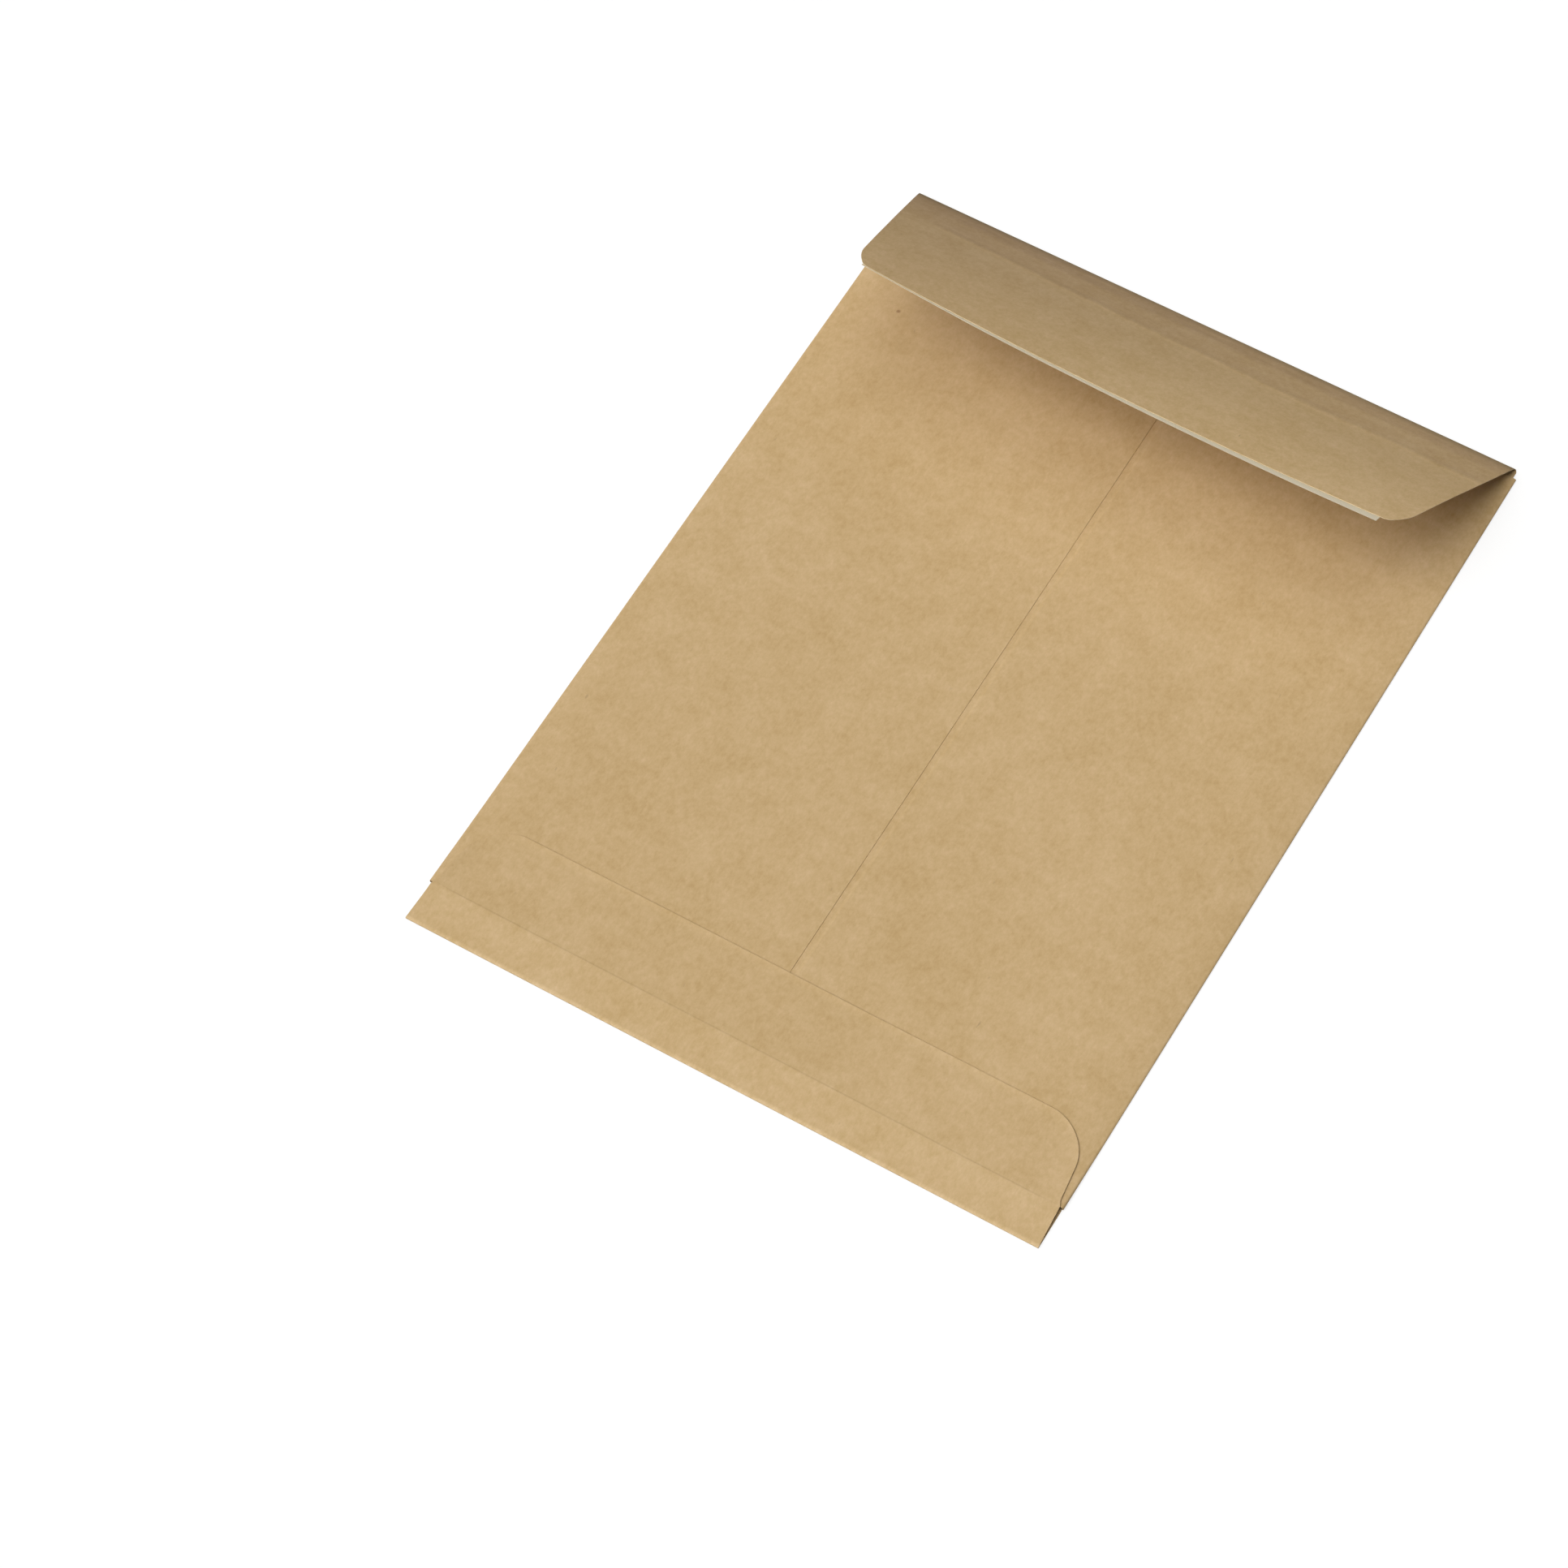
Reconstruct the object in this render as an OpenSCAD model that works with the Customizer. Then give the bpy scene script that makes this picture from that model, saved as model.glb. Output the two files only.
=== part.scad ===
// Paper pocket envelope for an unfolded A4 sheet. It lies on its front face, with its back face up
// and its closing flap sprung part open. X runs across the pocket, +Y from the bottom fold to the
// closing flap, and Z is up. The origin is the middle of the front face, on the table.

/* [Pocket] */
// Width of the closed pocket, from side fold to side fold
pocket_w = 229; // [160:1:300]
// Length of the closed pocket, from bottom fold to top fold
pocket_l = 324; // [240:1:400]
// Height of the springy pocket where it lies, outside
pocket_h = 1.6; // [1.2:0.1:3]
// Thickness of the kraft paper
paper_t = 0.15; // [0.1:0.01:0.2]
// Distance from the top fold down to the mouth edge of the back panels
mouth_drop = 3.5; // [2:0.5:8]

/* [Centre seam] */
// Place of the visible seam edge, measured from the pocket's middle
seam_x = 1; // [-20:0.5:20]
// Width of the overlap of the two back panels
seam_overlap = 14; // [8:1:30]
// Thickness of a dried glue film
glue_t = 0.05; // [0.03:0.01:0.08]
// Bare paper between a glue film and the edges of the paper over it
glue_margin = 2; // [1:0.5:3]
// Length of the step that takes the lower panel under the upper one
seam_step = 1.5; // [1:0.5:4]

/* [Bottom flap] */
// Length of the bottom flap, from the bottom fold to its glued edge
bottom_flap_l = 43; // [34:1:80]
// Distance from the bottom fold up to the lower edge of the back panels
panel_rise = 15; // [8:0.5:16]
// Outer radius of the pressed bottom fold
bottom_fold_r = 0.5; // [0.4:0.05:0.55]
// How far the sides of the bottom flap stand in from the pocket's, up to its shoulders
bottom_inset = 0.5; // [0:0.1:3]
// How far the sides step in at the shoulders, where the side folds begin
bottom_step = 1.6; // [0.5:0.1:4]
// How much further they stand in at the flap's end, had it sharp corners
bottom_taper = 3.3; // [0:0.1:12]
// Length that a rounded corner of the bottom flap takes off each edge
bottom_corner = 14; // [6:1:16]
// Length of the slope where the bottom flap climbs onto the back panels
bottom_ramp = 2; // [1.5:0.5:4]

/* [Closing flap] */
// Length of the closing flap, from the top fold to its free edge
flap_l = 82; // [60:1:110]
// Outer radius of the top fold
flap_fold_r = 0.7; // [0.5:0.05:1]
// Distance from the top fold to the flap's score line
score_s = 25; // [15:1:35]
// Angle between the table and the flap, from the fold to the score line
fold_angle = 40; // [25:0.5:50]
// Angle between the table and the flap, from the score line to the free edge
flap_angle = 36; // [20:0.5:45]
// How far the ends of the flap stand in at the fold
flap_inset = 1.4; // [0.8:0.1:4]
// How much further they stand in at the free edge, had it sharp corners
flap_taper = 12; // [4:1:25]
// Length that a rounded corner takes off the flap's end
corner_end = 15; // [6:1:20]
// Length that a rounded corner takes off the flap's free edge
corner_edge = 7; // [4:1:14]

/* [Closing strip] */
// Width of the strip of glue that closes the flap
adhesive_w = 18; // [8:1:24]
// Thickness of that strip
adhesive_t = 0.1; // [0.05:0.01:0.15]
// Bare paper between the strip and the flap's free edge
adhesive_margin = 2; // [1:0.5:4]
// Length of the strip, and of the liner that covers it
strip_l = 191; // [120:1:191]
// How far the release liner stands out past the flap's free edge
liner_proud = 2; // [1:0.5:5]
// How far the liner reaches past the strip on the other side
liner_lap = 3; // [1:0.5:6]
// Thickness of the release liner
liner_t = 0.08; // [0.05:0.01:0.12]

/* [Hidden] */

kraft = [0.78, 0.66, 0.49];
dried_glue = [0.93, 0.90, 0.80];
liner_white = [0.85, 0.83, 0.77];

half_w = pocket_w / 2;
half_l = pocket_l / 2;
mid = paper_t / 2;               // from a face of the paper to its middle
side_r = pocket_h / 2;           // outer radius of a side fold
panel_y0 = panel_rise - half_l;  // lower edge of the back panels
mouth_y = half_l - mouth_drop;   // mouth edge of the back panels
tuck = paper_t + glue_t;         // how far the lower panel runs below the upper one
join = 1;                        // length that two stretches of the one sheet share
steps = 12;                      // points on a fold or a rounded corner
tall = 200;                      // more than the height of anything cut to an outline

// Points on an arc in order, from one angle to the other.
function arc(centre, r, from, to) =
    [for (i = [0:steps]) let (a = from + (to - from) * i / steps) centre + r * [cos(a), sin(a)]];

function unit(v) = v / norm(v);
function left_of(v) = [-v[1], v[0]];

// The point at distance d to the left of a path's point i, mitred where the path turns.
function beside(path, i, d) =
    let (
        last = len(path) - 1,
        before = unit(path[max(i, 1)] - path[max(i, 1) - 1]),
        after = unit(path[min(i, last - 1) + 1] - path[min(i, last - 1)]),
        m = left_of(before) + left_of(after)
    ) path[i] + m * (2 * d / (m * m));

// The outline of a strip of paper whose middle follows a path.
function paper_along(path) =
    let (last = len(path) - 1) concat(
        [for (i = [0:last]) beside(path, i, mid)],
        [for (i = [last:-1:0]) beside(path, i, -mid)]
    );

// A rounded corner between two straight edges: a conic arc that takes cut_in off the edge
// that comes from p and cut_out off the edge that goes on to q.
function rounded(p, corner, q, cut_in, cut_out) =
    let (
        a = corner + cut_in * unit(p - corner),
        b = corner + cut_out * unit(q - corner),
        bend = acos(unit(p - corner) * unit(q - corner)) / 2,
        w = sin(bend)
    ) [for (i = [0:steps]) let (
            t = i / steps,
            f = [pow(1 - t, 2), 2 * w * t * (1 - t), pow(t, 2)]
        ) (f[0] * a + f[1] * corner + f[2] * b) / (f[0] + f[1] + f[2])];

// A flap's outline as [across, distance from its fold], rounded at its free corners. The side
// points run up one side from the fold, and the last of them is where the side starts to taper.
function flap_outline(side, taper, l, cut_end, cut_edge) =
    let (p = side[len(side) - 1], corner = [p[0] - taper, l], q = [0, l])
    mirrored(concat(side, rounded(p, corner, q, cut_end, cut_edge)));

function mirrored(points) =
    concat(points, [for (i = [len(points) - 1:-1:0]) [-points[i][0], points[i][1]]]);

// Turns a profile in the YZ plane into a solid of the given length across the pocket.
module across(l) {
    translate([-l / 2, 0, 0])
        rotate([90, 0, 90])
            linear_extrude(height = l) children();
}

// Turns a profile in the XZ plane into a solid that runs along the pocket from y0 to y1.
module along(y0, y1) {
    translate([0, y1, 0])
        rotate([90, 0, 0])
            linear_extrude(height = y1 - y0) children();
}

// The kraft sheet. It is one piece: the front panel, a back panel folded over from each side,
// the bottom flap and the closing flap.

// The tube of front panel and back panels, as a path from the upper panel's free edge, round
// the front panel, to the edge that is glued under it.
seam_path = concat(
    [[seam_x, pocket_h - mid]],
    arc([side_r - half_w, side_r], side_r - mid, 90, 270),
    arc([half_w - side_r, side_r], side_r - mid, -90, 90),
    [
        [seam_x + 2 * seam_step, pocket_h - mid],
        [seam_x + seam_step, pocket_h - mid - tuck],
        [seam_x - seam_overlap, pocket_h - mid - tuck]
    ]
);

// The front panel's ends reach past the tube to the two folds.
front_outline = [
    [half_w - bottom_inset, bottom_fold_r - half_l],
    [half_w - bottom_inset, panel_y0],
    [half_w - side_r, panel_y0],
    [half_w - side_r, mouth_y],
    [half_w - flap_inset, mouth_y],
    [half_w - flap_inset, half_l - flap_fold_r]
];
front_mirror = [for (i = [len(front_outline) - 1:-1:0]) [-front_outline[i][0], front_outline[i][1]]];

// The bottom flap comes round the pressed fold and climbs onto the back panels.
bottom_flap_z = pocket_h + glue_t + mid;
bottom_path = concat(
    [[bottom_fold_r + join - half_l, mid]],
    arc([bottom_fold_r - half_l, bottom_fold_r], bottom_fold_r - mid, -90, -270),
    [
        [panel_y0 - bottom_ramp - paper_t, 2 * bottom_fold_r - mid],
        [panel_y0 - paper_t, bottom_flap_z],
        [bottom_flap_l - half_l, bottom_flap_z]
    ]
);

// The bottom flap's outline, drawn in by a margin all round for the glue under it.
function bottom_outline(margin) = flap_outline(
    [
        [half_w - bottom_inset - margin, 0],
        [half_w - bottom_inset - margin, panel_rise],
        [half_w - bottom_inset - bottom_step - margin, panel_rise + bottom_step]
    ],
    bottom_taper, bottom_flap_l - margin, bottom_corner, bottom_corner
);

// The closing flap springs up from the top fold and bends at its score line.
fold_centre = [half_l - flap_fold_r, flap_fold_r];
fold_end = fold_centre + (flap_fold_r - mid) * [sin(fold_angle), cos(fold_angle)];
score_point = fold_end + score_s * [-cos(fold_angle), sin(fold_angle)];
flap_end = score_point + (flap_l - score_s) * [-cos(flap_angle), sin(flap_angle)];
flap_path = concat(
    [[half_l - flap_fold_r - join, mid]],
    arc(fold_centre, flap_fold_r - mid, -90, 90 - fold_angle),
    [score_point, flap_end]
);
closing_outline = flap_outline([[half_w - flap_inset, 0]], flap_taper, flap_l, corner_end, corner_edge);

// Where a distance s along the closing flap lies in plan. Its first points are the fold itself.
function flap_y(s) = s <= 0 ? half_l + join :
    fold_end[0] - min(s, score_s) * cos(fold_angle) - max(s - score_s, 0) * cos(flap_angle);

module kraft_sheet() {
    color(kraft) {
        linear_extrude(height = paper_t) polygon(concat(front_outline, front_mirror));
        along(panel_y0, mouth_y) polygon(paper_along(seam_path));
        intersection() {
            across(pocket_w) polygon(paper_along(bottom_path));
            linear_extrude(height = tall, center = true)
                translate([0, -half_l]) polygon(bottom_outline(0));
        }
        // Seen from above, the closing flap's outline is foreshortened by its slope.
        intersection() {
            across(pocket_w) polygon(paper_along(flap_path));
            linear_extrude(height = tall, center = true)
                polygon([for (p = closing_outline) [p[0], flap_y(p[1])]]);
        }
    }
}

// The glue between the overlapping edges of the back panels.
module seam_glue() {
    color(dried_glue)
        translate([seam_x - seam_overlap + glue_margin, panel_y0 + glue_margin, pocket_h - tuck])
            cube([seam_overlap - 2 * glue_margin, mouth_y - panel_y0 - 2 * glue_margin, glue_t]);
}

// The glue that holds the bottom flap down on both back panels, in from the flap's edges.
module bottom_flap_glue() {
    color(dried_glue)
        translate([0, 0, pocket_h])
            linear_extrude(height = glue_t)
                intersection() {
                    translate([0, -half_l]) polygon(bottom_outline(glue_margin));
                    translate([-half_w, panel_y0 + glue_margin])
                        square([pocket_w, bottom_flap_l]);
                }
}

// Places its children on the closing flap past the score line: Y runs towards the free edge,
// and Z = 0 is the flap's inner face, with the flap above it.
module under_flap() {
    translate([0, score_point[0], score_point[1]])
        rotate([flap_angle, 0, 180])
            translate([0, -score_s, -mid]) children();
}

// The strip of glue that closes the envelope, on the inner face near the free edge.
module flap_adhesive() {
    color(dried_glue)
        under_flap()
            translate([-strip_l / 2, flap_l - adhesive_margin - adhesive_w, -adhesive_t])
                cube([strip_l, adhesive_w, adhesive_t]);
}

// The release liner, which covers the strip until it is peeled off and stands out past the edge.
module release_liner() {
    reach = liner_lap + adhesive_w + adhesive_margin + liner_proud;
    color(liner_white)
        under_flap()
            translate([-strip_l / 2, flap_l + liner_proud - reach, -adhesive_t - liner_t])
                cube([strip_l, reach, liner_t]);
}

kraft_sheet();
seam_glue();
bottom_flap_glue();
flap_adhesive();
release_liner();
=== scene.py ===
"""A kraft paper pocket envelope that lies on its front face with its closing flap sprung part open.

The pieces are made in the order in which the real envelope is put together. Sizes are in metres.
"""

from math import cos, exp, pi, radians, sin

import bmesh
import bpy
from mathutils import Matrix, Vector, noise


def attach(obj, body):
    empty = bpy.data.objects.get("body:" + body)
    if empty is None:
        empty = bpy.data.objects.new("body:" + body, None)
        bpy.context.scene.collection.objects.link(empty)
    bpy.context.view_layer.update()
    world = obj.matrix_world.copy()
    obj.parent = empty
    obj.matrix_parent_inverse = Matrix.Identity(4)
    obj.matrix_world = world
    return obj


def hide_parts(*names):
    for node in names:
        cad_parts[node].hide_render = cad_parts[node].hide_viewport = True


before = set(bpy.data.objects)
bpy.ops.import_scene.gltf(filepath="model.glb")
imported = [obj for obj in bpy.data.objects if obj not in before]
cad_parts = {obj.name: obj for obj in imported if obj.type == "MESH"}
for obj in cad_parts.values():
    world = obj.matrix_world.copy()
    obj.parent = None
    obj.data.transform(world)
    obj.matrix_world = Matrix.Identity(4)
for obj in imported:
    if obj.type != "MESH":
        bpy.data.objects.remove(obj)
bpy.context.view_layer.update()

# The sheet. One piece of brown kraft paper, cut flat to a blank and folded by machine: a back
# panel comes over from each side of the front panel, the bottom flap folds up on both of them,
# and the closing flap springs part open on its fold and on the score line that runs across it.

MM = 0.001
pocket_w, pocket_l, pocket_h = 229 * MM, 324 * MM, 1.6 * MM
paper_t, glue_t = 0.15 * MM, 0.05 * MM
half_w, half_l, mid = pocket_w / 2, pocket_l / 2, paper_t / 2
side_r = pocket_h / 2
panel_rise, mouth_drop = 15 * MM, 3.5 * MM
panel_y, mouth_y = panel_rise - half_l, half_l - mouth_drop
seam_x, seam_overlap, seam_step, step_ease = 1 * MM, 14 * MM, 1.5 * MM, 0.03 * MM
top_z = pocket_h - mid
panel_top = top_z + mid
under_z = top_z - paper_t - glue_t
fold_steps = 10
same_place = 1e-6


def lay_flat(name, x0, x1, y0, y1, z):
    """Adds a flat rectangle, open in edit mode with all of it selected."""
    bpy.ops.object.select_all(action="DESELECT")
    bpy.ops.mesh.primitive_plane_add(size=1, enter_editmode=True)
    piece = bpy.context.object
    piece.name = piece.data.name = name
    bpy.ops.transform.resize(value=(x1 - x0, y1 - y0, 1), center_override=(0, 0, 0))
    bpy.ops.transform.translate(value=((x0 + x1) / 2, (y0 + y1) / 2, z))
    return piece


def pick_edge(piece, test):
    """Selects only those edges of the open piece whose middle passes a test."""
    bpy.ops.mesh.select_mode(type="EDGE")
    bpy.ops.mesh.select_all(action="DESELECT")
    mesh = bmesh.from_edit_mesh(piece.data)
    for edge in mesh.edges:
        if test(*(edge.verts[0].co + edge.verts[1].co) / 2):
            edge.select_set(True)
    bmesh.update_edit_mesh(piece.data)


def draw_out(path, widths=None):
    """Extrudes the selected edge along a path, and brings it to its width at each point."""
    for i in range(1, len(path)):
        step = Vector(path[i]) - Vector(path[i - 1])
        bpy.ops.mesh.extrude_region_move(TRANSFORM_OT_translate={"value": step})
        if widths:
            widen = (widths[i] / widths[i - 1], 1, 1)
            bpy.ops.transform.resize(value=widen, center_override=(0, 0, 0))


def cut_across(normal, places):
    """Cuts the whole open piece along parallel planes at these distances from the origin."""
    for place in places:
        bpy.ops.mesh.select_all(action="SELECT")
        bpy.ops.mesh.bisect(plane_co=Vector(normal) * place, plane_no=normal, threshold=same_place)


def outline(side, corners, bulge):
    """A flap's side and rounded corners, as half widths and distances from its fold. A corner is
    its place and the length that its round takes off each edge, and bulge is how full the round
    is. What comes in is in millimetres."""
    points = [Vector(p) for p in side]
    middle = Vector((0, corners[-1][1]))
    places = [points[-1]] + [Vector(corner[:2]) for corner in corners] + [middle]
    for i, (_, _, cut) in enumerate(corners):
        before, corner, after = places[i : i + 3]
        a = corner + cut * (before - corner).normalized()
        b = corner + cut * (after - corner).normalized()
        for step in range(fold_steps + 1):
            t = step / fold_steps
            share = ((1 - t) ** 2, 2 * bulge * t * (1 - t), t**2)
            points.append((share[0] * a + share[1] * corner + share[2] * b) / sum(share))
    return [(p[0] * MM, p[1] * MM) for p in points]


def width_at(points, s):
    """Half the width of a flap's outline at distance s from its fold."""
    for (w0, s0), (w1, s1) in zip(points, points[1:]):
        if s <= s1 + same_place:
            return w0 + (w1 - w0) * max(s - s0, 0) / max(s1 - s0, same_place)
    return points[-1][0]


def places_between(start, end, gap):
    """Evenly spaced places from start to end, about gap apart."""
    count = max(1, round((end - start) / gap))
    return [start + (end - start) * i / count for i in range(count + 1)]


# The tube: a side panel comes round each side fold, and the right one steps down to run under
# the left one, where it is glued.
flat_w = half_w - side_r
sheet = lay_flat("kraft_sheet_folded", -flat_w, flat_w, panel_y, mouth_y, mid)
for side in (-1, 1):
    pick_edge(sheet, lambda x, y, z: x * side > flat_w - same_place)
    bpy.ops.mesh.spin(
        steps=fold_steps, angle=pi, center=(side * flat_w, 0, side_r), axis=(0, side, 0)
    )
    if side < 0:
        draw_out([(-flat_w, 0, top_z), (seam_x, 0, top_z)])
    else:
        draw_out(
            [
                (flat_w, 0, top_z),
                (seam_x + 2 * seam_step, 0, top_z),
                (seam_x + 1.6 * seam_step, 0, top_z - step_ease),
                (seam_x + 1.4 * seam_step, 0, under_z + step_ease),
                (seam_x + seam_step, 0, under_z),
                (seam_x - seam_overlap, 0, under_z),
            ]
        )


def pick_front_end(end_y):
    """Selects the front panel's own edge at its bottom or at its mouth."""
    pick_edge(sheet, lambda x, y, z: abs(y - end_y) < same_place and z < paper_t and abs(x) < mid)


# The bottom flap, folded over and climbing onto the lower edge of the back panels, which shows
# through it as a faint ridge. Its outline is given in millimetres.
bottom_r, bottom_l = 0.5 * MM, 43 * MM
bottom_z = pocket_h + glue_t + mid
bottom_side = [(114, 0), (113.2, 15), (112.4, 16.6)]
bottom_corners, bottom_bulge = [(109.1, 43, 14)], 0.66
bottom_outline = outline(bottom_side, bottom_corners, bottom_bulge)
widen_l = 0.3 * MM
fold_y = bottom_r - half_l
pick_front_end(panel_y)
draw_out(
    [(0, panel_y, mid), (0, panel_y - widen_l, mid), (0, fold_y, mid)],
    [flat_w, bottom_outline[0][0], bottom_outline[0][0]],
)
bpy.ops.mesh.spin(steps=fold_steps, angle=pi, center=(0, fold_y, bottom_r), axis=(1, 0, 0))

low_z = 2 * bottom_r - mid
climb_start, climb_end, climb_steps = 1 * MM, 14.5 * MM, 8
crest, crest_l, past_edge = 0.1 * MM, 0.3 * MM, 0.1 * MM
climb_l, climb_h = climb_end - climb_start, bottom_z + crest - low_z
climb = [
    (climb_start + climb_l * i / climb_steps, low_z + climb_h * i / climb_steps)
    for i in range(climb_steps + 1)
]
climb += [(climb_end + crest_l, bottom_z + 0.8 * crest), (panel_rise + past_edge, bottom_z)]
first_rows = [(bottom_r, low_z)] + climb
draw_out(
    [(0, s - half_l, z) for s, z in first_rows]
    + [(0, s - half_l, bottom_z) for w, s in bottom_outline[2:]],
    [width_at(bottom_outline, s) for s, z in first_rows] + [w for w, s in bottom_outline[2:]],
)

# The closing flap is drawn out flat beyond its fold, as the blank is cut, and bent further down.
# Its rows are closest where it bends most. Its outline is given in millimetres.
flap_r, flap_l, fold_turn = 0.7 * MM, 81.6 * MM, radians(140)
score_s, score_w = 25 * MM, 0.5 * MM
flap_side = [(112.9, 0), (105.8, 45)]
flap_corners, flap_bulge = [(101.4, 74.3, 4.5), (96.7, 81.6, 2.2)], 0.9
flap_outline = outline(flap_side, flap_corners, flap_bulge)
shoulder_w = 113.2 * MM
crease_y = half_l - flap_r
crease_l = (flap_r - mid) * fold_turn
flap_rows = [crease_l * i / fold_steps for i in range(fold_steps)]
flap_rows += [crease_l + s * MM for s in (0, 0.4, 0.9, 1.5, 2.2, 3, 5, 7.5, 10, 13, 16, 19, 22)]
flap_rows += [crease_l + score_s + score_w * i / 2 for i in range(-2, 3)]
flap_rows += [crease_l + s for s in places_between(29 * MM, 65 * MM, 4 * MM)]
flap_tip = [(w, crease_l + s) for w, s in flap_outline[len(flap_side) :]]


def shoulder_at(v):
    """How much wider than the flap its fold still is, v beyond the start of the fold."""
    return (shoulder_w - flap_outline[0][0]) * max(1 - v / crease_l, 0)


pick_front_end(mouth_y)
draw_out(
    [(0, mouth_y, mid), (0, mouth_y + widen_l, mid)]
    + [(0, crease_y + v, mid) for v in flap_rows]
    + [(0, crease_y + v, mid) for w, v in flap_tip],
    [flat_w, shoulder_w]
    + [width_at(flap_outline, v - crease_l) + shoulder_at(v) for v in flap_rows]
    + [w for w, v in flap_tip],
)

# The whole sheet is divided into small faces, and more closely at the line that is pressed into
# the front and at the bottom flap's edge.
grid = 6 * MM
grid_across = [i * grid for i in range(-18, 19)]
grid_along = [i * grid for i in range(-24, 27)]
pressed_y = -148 * MM
pressed_rows = [pressed_y + i * 0.35 * MM for i in range(-4, 5)]
edge_rows = [bottom_l - half_l - i * 0.7 * MM for i in range(1, 5)]
cut_across((1, 0, 0), grid_across)
for rows in (grid_along, pressed_rows, edge_rows):
    cut_across((0, 1, 0), rows)
bpy.ops.mesh.select_all(action="SELECT")
bpy.ops.mesh.remove_doubles(threshold=same_place)
bpy.ops.mesh.normals_make_consistent(inside=False)
bpy.ops.object.mode_set(mode="OBJECT")

swell_even, swell_at_mouth, wave_h = 0.12 * MM, 0.25 * MM, 0.35 * MM
swell_start, pinch_h, pinch_w = 30 * MM, 0.75 * MM, 18 * MM


def swell(x, y):
    """How far the springy back of the pocket stands off its even height. It is pressed down
    along the side folds."""
    from_sides = 1 - (abs(x) / half_w) ** 4
    from_bottom = min(max((y - panel_y) / swell_start, 0), 1)
    waves = noise.noise(Vector((x * 14, y * 9, 3.7)))
    waves += 0.4 * noise.noise(Vector((x * 30, y * 24, 8)))
    dome = swell_even + swell_at_mouth * max(y / half_l, 0) ** 3
    pressed = pinch_h * max((abs(x) - half_w) / pinch_w + 1, 0) ** 2
    loose = from_sides * (dome + wave_h * waves)
    return from_bottom**2 * (3 - 2 * from_bottom) * (loose - pressed)


lift_h, lift_w = 0.3 * MM, 3 * MM


def edge_lift(x, s):
    """How far the bottom flap's unglued edge stands up, at s from the bottom fold."""
    from_edge = min(bottom_l - s, width_at(bottom_outline, s) - abs(x))
    return lift_h * max(1 - from_edge / lift_w, 0) ** 2


bow_h, pressed_h, pressed_w = 0.1 * MM, 0.09 * MM, 0.6 * MM


def front_bow(x, y):
    """How far the front panel bows up off the table between its folds."""
    waves = max(0.5 + noise.noise(Vector((x * 11, y * 8, 1.3))), 0)
    return bow_h * waves * (1 - (abs(x) / half_w) ** 4) * (1 - (abs(y) / half_l) ** 8)


def pressed_line(y):
    """How far the front panel is pressed in where the back panels' lower edge lies behind it."""
    return pressed_h * exp(-(((y - pressed_y) / pressed_w) ** 2))


# The closing flap's slopes in degrees: before and beyond its score, how much steeper it starts
# and how much flatter it ends, and how far it leans, sags and twists.
slope_before, slope_beyond, steeper, flatter = 36.7, 37, 16, 1.9
lean_across, sag, sag_at_edge, twist = -1.2, 2.1, 0.35, 0.94
steep_l = 1.5 * MM


def slope_at(x, s):
    """The angle between the table and the closing flap, at s from its fold, in radians. The
    flap sags in the middle and is a little twisted, and it is steepest just past its fold."""
    u = x / half_w
    sagging = (sag + sag_at_edge * s / flap_l) * (1 - u * u)
    slope = lean_across * u - sagging + twist * u * (2 * s / flap_l - 1)
    if s < score_s:
        return radians(slope + slope_before + steeper * exp(-s / steep_l))
    return radians(slope + slope_beyond - flatter * (s - score_s) / (flap_l - score_s))


left_at_fold, left_at_edge = 0.5 * MM, 0.65 * MM
bend_steps = 40


def bent(x, v, depth=0.0):
    """Where a point of the closing flap's blank comes to, v beyond the start of its fold.
    A depth puts it that far inside the flap. The flap is cut a little to the left."""
    if v <= crease_l:
        turn = v / crease_l * (pi - slope_at(x, 0))
        r = flap_r - mid
        left = left_at_fold * v / crease_l
        return Vector((x - left, crease_y + r * sin(turn), flap_r - r * cos(turn)))
    start = slope_at(x, 0)
    y = crease_y + (flap_r - mid) * sin(start)
    z = flap_r + (flap_r - mid) * cos(start)
    s = v - crease_l
    for i in range(bend_steps):
        a = slope_at(x, s * (i + 0.5) / bend_steps)
        y -= cos(a) * s / bend_steps
        z += sin(a) * s / bend_steps
    a = slope_at(x, s)
    left = left_at_fold + (left_at_edge - left_at_fold) * s / flap_l
    return Vector((x - left, y - depth * sin(a), z - depth * cos(a)))


# Every point keeps its place on the flat blank, which the paper's pattern follows. Then the
# sheet takes its shape: the pocket swells a little and the closing flap turns up.
blank = sheet.data.attributes.new("blank", "FLOAT_VECTOR", "POINT")
for point, vertex in zip(blank.data, sheet.data.vertices):
    x, y, z = vertex.co
    in_back = z > side_r
    if y > crease_y or not in_back:
        point.vector = (x, y, 0)
    elif z > panel_top or y < panel_y - same_place:
        point.vector = (x, -pocket_l - y, 0)
    elif x < seam_x + same_place and z > under_z + mid:
        point.vector = (-pocket_w - x, y, 0)
    else:
        point.vector = (pocket_w - x, y, 0)
    if y > crease_y:
        vertex.co = bent(x, y - crease_y)
    elif abs(x) > flat_w + same_place and z < panel_top:
        vertex.co.z = mid + (z - mid) * (1 + swell(x, y) / (top_z - mid))
    elif in_back:
        on_bottom_flap = z > panel_top and y > panel_y
        vertex.co.z = z + swell(x, y) + (edge_lift(x, y + half_l) if on_bottom_flap else 0)
    else:
        vertex.co.z = z + pressed_line(y) + front_bow(x, y)


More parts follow.
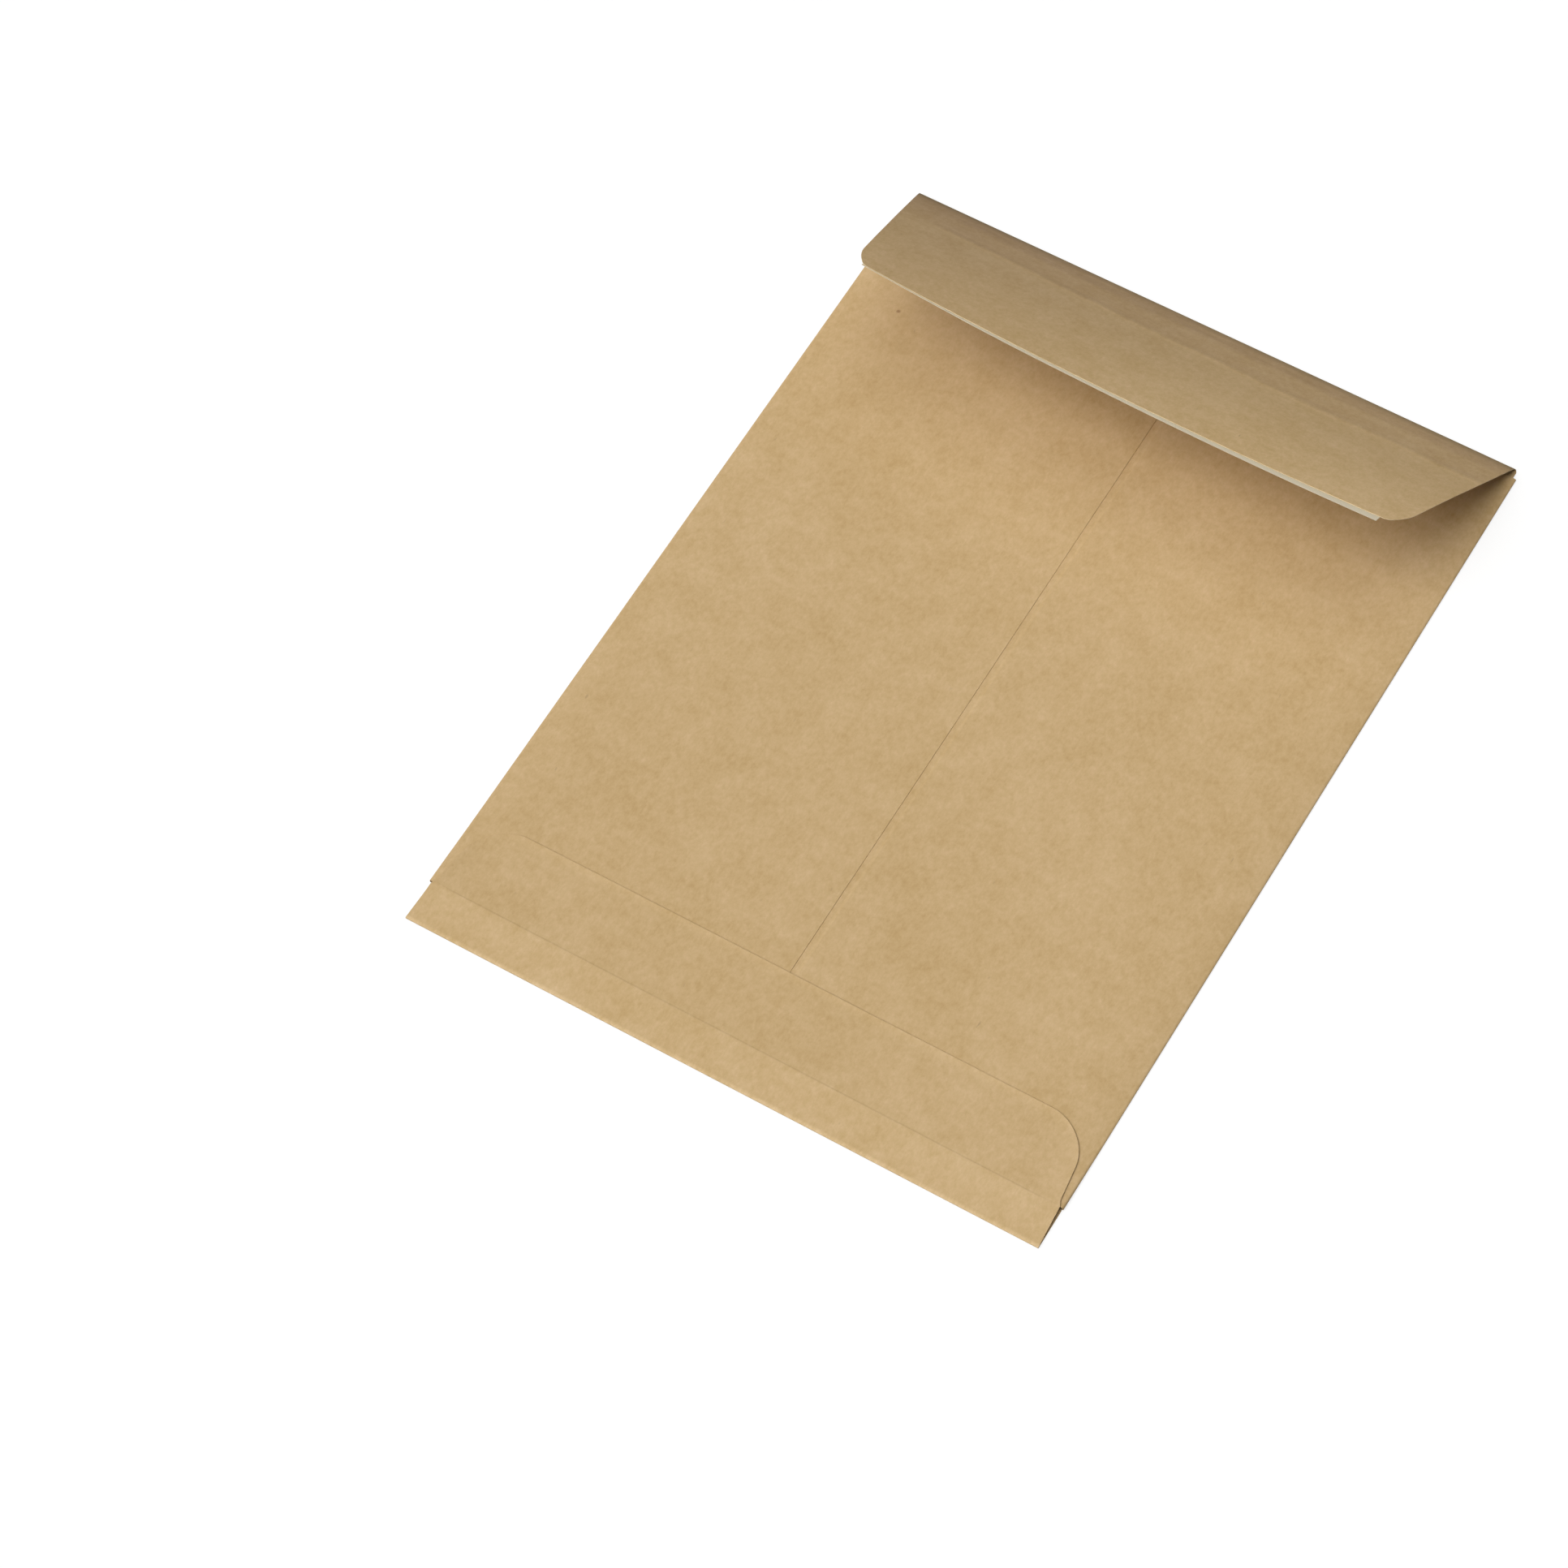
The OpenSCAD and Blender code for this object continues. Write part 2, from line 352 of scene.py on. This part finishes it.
class Wire:
    """One output of a shader node. Sums written with it add Math nodes to its material."""

    def __init__(self, tree, socket=None):
        self.tree, self.socket = tree, socket

    def node(self, kind, settings, sockets, out=0):
        """Adds a node: its settings first, then the values or links of its sockets."""
        made = self.tree.nodes.new("ShaderNode" + kind)
        for name, value in settings.items():
            setattr(made, name, value)
        for name, value in sockets.items():
            if isinstance(value, Wire):
                self.tree.links.new(value.socket, made.inputs[name])
            else:
                made.inputs[name].default_value = value
        return Wire(self.tree, made.outputs[out] if made.outputs else None)

    def maths(self, operation, a, b):
        return self.node("Math", {"operation": operation}, {0: a, 1: b})

    def __add__(self, other):
        return self.maths("ADD", self, other)

    def __sub__(self, other):
        return self.maths("SUBTRACT", self, other)

    def __rsub__(self, other):
        return self.maths("SUBTRACT", other, self)

    def __mul__(self, other):
        return self.maths("MULTIPLY", self, other)

    __radd__ = __add__
    __rmul__ = __mul__


def new_finish(name):
    """A new material with no nodes, and the wire that its nodes are added with."""
    material = bpy.data.materials.new(name)
    material.use_nodes = True
    material.node_tree.nodes.clear()
    return material, Wire(material.node_tree)


def shade_of(colour, share):
    """A colour made lighter or darker as a whole."""
    return (*(share * c for c in colour), 1)


def tones(colour, shares):
    """A colour with each of its channels made lighter or darker by its own share."""
    return (*(share * c for c, share in zip(colour, shares)), 1)


# The paper's own colour, the shares its pulp varies between, and painted shade, painted highlight
# and a speck.
kraft, cut_kraft = (0.56, 0.39, 0.205), (0.82, 0.66, 0.43)
pulp_dark, pulp_light = (0.86, 0.825, 0.68), (1.14, 1.18, 1.27)
painted_flap_shade_tone, painted_fold_shade_tone, painted_score_highlight_tone = (0.55, 0.505, 0.56), (0.60, 0.61, 0.54), (1.14, 1.15, 1.15)
painted_flap_light_tone, painted_bottom_highlight_tone, speck_tone = (1.2, 1.21, 1.21), (1.25, 1.3, 1.4), (0.45, 0.33, 0.28)
flap_from = crease_y + crease_l
flap_end = 112 * MM
speck_at = (-134 * MM, 115.5 * MM, 0)


def kraft_finish(name, colour, painted_light_and_speck):
    """Kraft paper: fine fibres that run along it, soft clouds of pulp and a few dark shives.
    With the painted marks switched on, it also gets painted shade from the closing flap's fold to
    its score and along the fold, painted highlights along the score and on the bottom fold, painted
    light that lightens the flap towards its free edge, and one brown speck."""
    material, paper = new_finish(name)
    place = paper.node("Attribute", {"attribute_name": "blank"}, {}, "Vector")
    along = paper.node("SeparateXYZ", {}, {0: place}, "Y")
    across = paper.node("SeparateXYZ", {}, {0: place}, "X")

    def grain(scale, stretch, detail, roughness=0.5):
        """Noise, drawn out across or along the paper where its stretch is under one."""
        drawn = paper.node("VectorMath", {"operation": "MULTIPLY"}, {0: place, 1: stretch})
        looks = {"Vector": drawn, "Scale": scale, "Detail": detail, "Roughness": roughness}
        return paper.node("TexNoise", {}, looks)

    def blend(share, first, second):
        return paper.node("Mix", {"data_type": "RGBA"}, {0: share, 6: first, 7: second}, 2)

    def tint_painted_light_and_speck(share, tinted, tone):
        """Turns a share of the colour lighter or darker and keeps its grain."""
        ways = {"data_type": "RGBA", "blend_type": "MULTIPLY"}
        return paper.node("Mix", ways, {0: share, 6: tinted, 7: (*tone, 1)}, 2)

    def band(value, start, end, low, high):
        """Goes from low to high as the value goes from start to end, and stays there."""
        return paper.node("MapRange", {}, {0: value, 1: start, 2: end, 3: low, 4: high})

    clouds = grain(90, (1, 1, 1), 4, 0.6)
    drift = grain(17, (1, 0.8, 1), 1)
    fibres = grain(1500, (1, 0.4, 1), 2, 0.6)
    flecks = grain(450, (1, 0.75, 1), 3, 0.7)
    pulp = 0.5 + 0.9 * (clouds - 0.5) + 0.45 * (drift - 0.5)
    pulp = pulp + 0.5 * (fibres - 0.5) + 1.2 * (flecks - 0.5)
    tinted = blend(pulp, tones(colour, pulp_dark), tones(colour, pulp_light))
    shives = grain(330, (1.6, 0.5, 1), 1)
    tinted = blend(band(shives, 0.77, 0.84, 0.0, 0.35), tinted, shade_of(colour, 0.45))
    if painted_light_and_speck:
        past = along - flap_from
        wander = past + 7 * MM * (drift - 0.5) + 3 * MM * (clouds - 0.5)

        # Painted shade, dark and streaky from the closing flap's fold to its score and softer at
        # its left end, with more painted shade over the flap towards its left end.
        streaks = 0.6 + 0.8 * grain(420, (0.15, 1, 1), 2, 0.6)
        painted_flap_shade = band(past, 8 * MM, 12 * MM, 0.49, 0.25) + band(past, 20 * MM, 21.5 * MM, 0, 0.05)
        painted_flap_shade = painted_flap_shade * streaks * band(wander, 22.5 * MM, 25 * MM, 1, 0)
        painted_flap_shade = painted_flap_shade * band(across, -flap_end, -90 * MM, 0.45, 1)
        painted_flap_shade = painted_flap_shade + band(across, -flap_end, 40 * MM, 0.28, 0)
        at_end = band(across, -100 * MM, -92 * MM, 1, 0)
        painted_flap_shade = painted_flap_shade + at_end * (band(past, 6 * MM, 30 * MM, 0.69, 0.2) - painted_flap_shade)
        painted_flap_shade = painted_flap_shade * band(past, -3 * MM, 0, 0, 1)
        tinted = tint_painted_light_and_speck(painted_flap_shade, tinted, painted_flap_shade_tone)

        # Painted shade, darkest along the fold itself, and more so towards its ends.
        ends = band(across, -flap_end, -30 * MM, 1, 0) + band(across, 0, flap_end, 0, 0.7)
        edge = band(past, 0, 4.5 * MM, 0.85, 0) + ends * band(past, 0, 7 * MM, 0.6, 0)
        tinted = tint_painted_light_and_speck(edge * band(past, -1 * MM, 0, 0, 1), tinted, painted_fold_shade_tone)

        # A thin painted highlight along the score, and painted light that makes the flap lighter
        # towards its free edge.
        ridge = band(wander, 24 * MM, 25 * MM, 0, 0.2) * band(wander, 25.5 * MM, 27 * MM, 1, 0)
        tinted = tint_painted_light_and_speck(ridge * (1 - at_end), tinted, painted_score_highlight_tone)
        tinted = tint_painted_light_and_speck(band(past, 35 * MM, 80 * MM, 0, 1), tinted, painted_flap_light_tone)

        # A painted highlight on the bottom fold, and a little from there to the bottom flap's
        # ridge.
        painted_bottom_highlight = band(along, -half_l - 1.4 * MM, -half_l - 0.6 * MM, 0, 1)
        painted_bottom_highlight = painted_bottom_highlight * band(along, -half_l, -half_l + 0.9 * MM, 1, 0) * (0.3 + 0.7 * flecks)
        to_ridge = band(along, -half_l - panel_rise, -half_l - climb_end, 0, 0.15)
        painted_bottom_highlight = painted_bottom_highlight + to_ridge * band(along, -half_l - 1 * MM, -half_l, 1, 0)
        tinted = tint_painted_light_and_speck(painted_bottom_highlight, tinted, painted_bottom_highlight_tone)

        # One brown speck on the left back panel.
        off_speck = paper.node("VectorMath", {"operation": "SUBTRACT"}, {0: place, 1: speck_at})
        off_speck = paper.node("VectorMath", {"operation": "LENGTH"}, {0: off_speck}, "Value")
        speck = band(off_speck + 0.9 * MM * (flecks - 0.5), 0.3 * MM, 0.9 * MM, 0.7, 0)
        tinted = tint_painted_light_and_speck(speck, tinted, speck_tone)
    bump = paper.node(
        "Bump", {}, {"Strength": 0.35, "Distance": 0.04 * MM, "Height": flecks + 0.6 * fibres}
    )
    shader = paper.node(
        "BsdfPrincipled",
        {},
        {
            "Base Color": tinted,
            "Roughness": 0.7 + 0.25 * flecks,
            "Normal": bump,
            "Specular IOR Level": 0.3,
        },
    )
    paper.node("OutputMaterial", {}, {"Surface": shader})
    return material


sheet.data.materials.append(kraft_finish("kraft", kraft, painted_light_and_speck=True))
sheet.data.materials.append(kraft_finish("kraft_cut_edge", cut_kraft, painted_light_and_speck=False))


def thicken(piece, thickness, rim=0):
    """Gives a piece its thickness, half to each side, and smooths all but its cut edges. They
    take the finish that is rim slots further on than the piece's own."""
    bpy.context.view_layer.objects.active = piece
    solid = piece.modifiers.new("thickness", "SOLIDIFY")
    solid.thickness, solid.offset = thickness, 0
    solid.material_offset_rim = rim
    bpy.ops.object.modifier_apply(modifier=solid.name)
    bpy.ops.object.shade_smooth_by_angle(angle=radians(35))


thicken(sheet, paper_t, rim=1)
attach(sheet, "root")
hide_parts("kraft_sheet")

# The glue films. Thin dried dextrin glue, spread between the two back panels and under the
# bottom flap by machine, a little in from the edges of the paper that lies on it.

glue_margin = 2 * MM


def smooth_finish(name, colour, scale, spread, roughness, relief):
    """A plain thin film or strip, slightly uneven in tone, gloss and relief."""
    material, film = new_finish(name)
    place = film.node("TexCoord", {}, {}, "Object")
    uneven = film.node("TexNoise", {}, {"Vector": place, "Scale": scale, "Detail": 3})
    fine = film.node("TexNoise", {}, {"Vector": place, "Scale": 12 * scale, "Detail": 2})
    tinted = film.node(
        "Mix",
        {"data_type": "RGBA"},
        {
            0: 0.5 + 1.4 * (uneven - 0.5) + 0.5 * (fine - 0.5),
            6: shade_of(colour, 1 - spread),
            7: shade_of(colour, 1 + spread),
        },
        2,
    )
    bump = film.node("Bump", {}, {"Strength": 0.3, "Distance": relief, "Height": fine + uneven})
    shader = film.node(
        "BsdfPrincipled",
        {},
        {"Base Color": tinted, "Roughness": roughness + 0.15 * (uneven - 0.5), "Normal": bump},
    )
    film.node("OutputMaterial", {}, {"Surface": shader})
    return material


dried_glue = smooth_finish(
    "dried_glue", (0.80, 0.74, 0.60), scale=140, spread=0.08, roughness=0.45, relief=0.02 * MM
)


def close_piece(piece, lay, material, thickness, node):
    """Lays a flat open piece where it goes, gives it its thickness and finish, and fixes it."""
    bpy.ops.mesh.select_all(action="SELECT")
    bpy.ops.mesh.remove_doubles(threshold=same_place)
    bpy.ops.mesh.normals_make_consistent(inside=False)
    bpy.ops.object.mode_set(mode="OBJECT")
    for vertex in piece.data.vertices:
        vertex.co = lay(*vertex.co)
    piece.data.materials.append(material)
    thicken(piece, thickness)
    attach(piece, "root")
    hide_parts(node)


def on_back(x, y, z):
    """Lays a point of a film on the back panels, which swell a little."""
    return Vector((x, y, z + swell(x, y)))


seam_film = lay_flat(
    "seam_glue_film",
    seam_x - seam_overlap + glue_margin,
    seam_x - glue_margin,
    panel_y + glue_margin,
    mouth_y - glue_margin,
    pocket_h - paper_t - glue_t / 2,
)
cut_across((1, 0, 0), [-grid])
cut_across((0, 1, 0), grid_along)
close_piece(seam_film, on_back, dried_glue, glue_t, "seam_glue")

# The film under the bottom flap has the flap's own outline, less the margin.
film_z = pocket_h + glue_t / 2
film_start = panel_rise + glue_margin
margin = glue_margin / MM
film_outline = outline(
    [(w - margin, s) for w, s in bottom_side],
    [(w - margin, s - margin, cut) for w, s, cut in bottom_corners],
    bottom_bulge,
)
film_w = width_at(film_outline, film_start)
film_side = [(w, s) for w, s in film_outline if s > film_start + same_place]
film_y0, film_y1 = panel_y + glue_margin, panel_y + 2 * glue_margin
bottom_film = lay_flat("bottom_glue_film", -film_w, film_w, film_y0, film_y1, film_z)
pick_edge(bottom_film, lambda x, y, z: y > film_y1 - same_place)
draw_out(
    [(0, film_y1, film_z)] + [(0, s - half_l, film_z) for w, s in film_side],
    [film_w] + [w for w, s in film_side],
)
cut_across((1, 0, 0), grid_across)
cut_across((0, 1, 0), grid_along[:5])
close_piece(bottom_film, on_back, dried_glue, glue_t, "bottom_flap_glue")

# The closing strip. A band of pressure-sensitive glue coated on the inside of the closing flap,
# near its free edge.

strip_l, adhesive_w, adhesive_t, adhesive_margin = 191 * MM, 18 * MM, 0.1 * MM, 2 * MM
strip_start, strip_end = flap_l - adhesive_margin - adhesive_w, flap_l - adhesive_margin
closing_glue = smooth_finish(
    "closing_glue", (0.82, 0.78, 0.66), scale=90, spread=0.06, roughness=0.35, relief=0.03 * MM
)


def in_flap(x, y, z):
    """Lays a point of the closing strip inside the flap, at y from the flap's fold."""
    return bent(x, crease_l + y, mid + adhesive_t / 2)


adhesive = lay_flat("closing_glue_strip", -strip_l / 2, strip_l / 2, strip_start, strip_end, 0)
strip_grid = [i * grid for i in range(-15, 16)]
cut_across((1, 0, 0), strip_grid)
cut_across((0, 1, 0), places_between(strip_start, strip_end, 3 * MM)[1:-1])
close_piece(adhesive, in_flap, closing_glue, adhesive_t, "flap_adhesive")

# The release liner. A strip of white silicone-coated paper that covers the closing strip until
# it is peeled off. It stands out past the flap's free edge, a little askew, so that it can be
# gripped.

liner_lap, liner_proud, liner_t = 3 * MM, 2 * MM, 0.08 * MM
liner_start, liner_end = strip_start - liner_lap, flap_l + liner_proud
askew, aside, short = 1.65 * MM, 1.6 * MM, 0.2 * MM
bow, bow_x, bow_w = 0.5 * MM, -48 * MM, 30 * MM
liner_paper = smooth_finish(
    "release_liner", (0.74, 0.65, 0.48), scale=260, spread=0.03, roughness=0.5, relief=0.02 * MM
)

liner = lay_flat("release_liner_strip", -strip_l / 2, strip_l / 2, liner_start, liner_end, 0)
cut_across((1, 0, 0), strip_grid)
cut_across((0, 1, 0), places_between(liner_start, liner_end, 2 * MM)[1:-1])


def under_strip(x, y, z):
    """Lays a point of the liner on the closing strip, a little to one side and turned a little.
    It bows out left of its middle."""
    out = y - short + askew * x / (strip_l / 2) + bow * exp(-(((x - bow_x) / bow_w) ** 2))
    return bent(x - aside, crease_l + out, mid + adhesive_t + liner_t / 2)


close_piece(liner, under_strip, liner_paper, liner_t, "release_liner")

# The stage: a plain white floor that fades to white where the camera sees it and keeps the soft
# shadow, one large soft lamp from the front left, a broad one overhead, a weak near one from the
# front right, and a faint even sky.

floor_size, floor_drop, floor_grey = 8, 0.05 * MM, 0.6
glow_level, glow_share = 1.4, 0.55
white = (1, 1, 1, 1)
bpy.ops.object.select_all(action="DESELECT")
bpy.ops.mesh.primitive_plane_add(size=floor_size, location=(0, 0, -floor_drop))
floor = bpy.context.object
floor.name = "floor"
floor_white, surface = new_finish("floor_white")


def seen_by_eye(wire):
    """One for the rays that the camera sees, straight or by gloss or through glass."""
    kinds = ("Is Camera Ray", "Is Glossy Ray", "Is Transmission Ray")
    first, second, third = (wire.node("LightPath", {}, {}, kind) for kind in kinds)
    return first + second + third


seen = seen_by_eye(surface)
plain = surface.node("BsdfDiffuse", {}, {"Color": (floor_grey, floor_grey, floor_grey, 1)})
glow = surface.node("Emission", {}, {"Color": white, "Strength": glow_level})
faded = surface.node("MixShader", {}, {0: glow_share * seen, 1: plain, 2: glow})
surface.node("OutputMaterial", {}, {"Surface": faded})
floor.data.materials.append(floor_white)

sky_level = 0.05
world = bpy.data.worlds.new("studio")
bpy.context.scene.world = world
world.use_nodes = True
world.node_tree.nodes.clear()
sky = Wire(world.node_tree)
strength = sky_level + (1 - sky_level) * seen_by_eye(sky)
background = sky.node("Background", {}, {"Color": white, "Strength": strength})
sky.node("OutputWorld", {}, {"Surface": background})

# Each far lamp has its degrees round from the front and up from the table, how bright white
# paper that lies flat is under it alone, how many degrees of the sky it fills, and its colour.
for name, from_front, from_table, level, spread, colour in (
    ("front_lamp", -37, 50, 0.60, 44, (1, 1, 1)),
    ("top_lamp", -140, 80, 0.29, 56, (1, 0.99, 0.92)),
):
    turn, tilt = radians(from_front), radians(from_table)
    lamp_from = Vector((sin(turn) * cos(tilt), -cos(turn) * cos(tilt), sin(tilt)))
    lamp_data = bpy.data.lights.new(name, "SUN")
    lamp_data.energy = pi * level / lamp_from.z
    lamp_data.angle, lamp_data.color = radians(spread), colour
    lamp = bpy.data.objects.new(name, lamp_data)
    lamp.rotation_euler = lamp_from.to_track_quat("Z", "Y").to_euler()
    bpy.context.collection.objects.link(lamp)

# The near lamp has its place, its width and its brightness, which is meant in the same way.
fill_at, fill_size, fill_level = Vector((0.5, -0.5, 0.9)), 0.8, 0.02
fill_data = bpy.data.lights.new("side_lamp", "AREA")
fill_data.shape, fill_data.size = "DISK", fill_size
fill_data.energy = pi**2 * fill_level * fill_at.length**3 / fill_at.z
fill = bpy.data.objects.new("side_lamp", fill_data)
fill.location, fill.rotation_euler = fill_at, fill_at.to_track_quat("Z", "Y").to_euler()
bpy.context.collection.objects.link(fill)

# The camera stands beyond the bottom fold and to its right, high up and far away, and is rolled
# a little. Its focal length is in pixels of the frame's width.
azimuth, elevation, roll = radians(32.7267), radians(60.0695), radians(-2.4411)
aim, distance = Vector((-35.618 * MM, -60.409 * MM, 0)), 1682.66 * MM
sensor_w, focal_pixels, frame_pixels = 36, 6500, 1932
back = Vector((sin(azimuth) * cos(elevation), -cos(azimuth) * cos(elevation), sin(elevation)))
sideways = (-back).cross(Vector((0, 0, 1))).normalized()
upright = sideways.cross(-back)
camera_x = cos(roll) * sideways + sin(roll) * upright
camera_y = -sin(roll) * sideways + cos(roll) * upright
camera_data = bpy.data.cameras.new("camera")
camera_data.sensor_width = sensor_w
camera_data.lens = sensor_w * focal_pixels / frame_pixels
camera = bpy.data.objects.new("camera", camera_data)
camera.matrix_world = Matrix.Translation(aim + back * distance) @ (
    Matrix((camera_x, camera_y, back)).transposed().to_4x4()
)
bpy.context.collection.objects.link(camera)
bpy.context.scene.camera = camera
bpy.context.scene.view_settings.view_transform = "Standard"
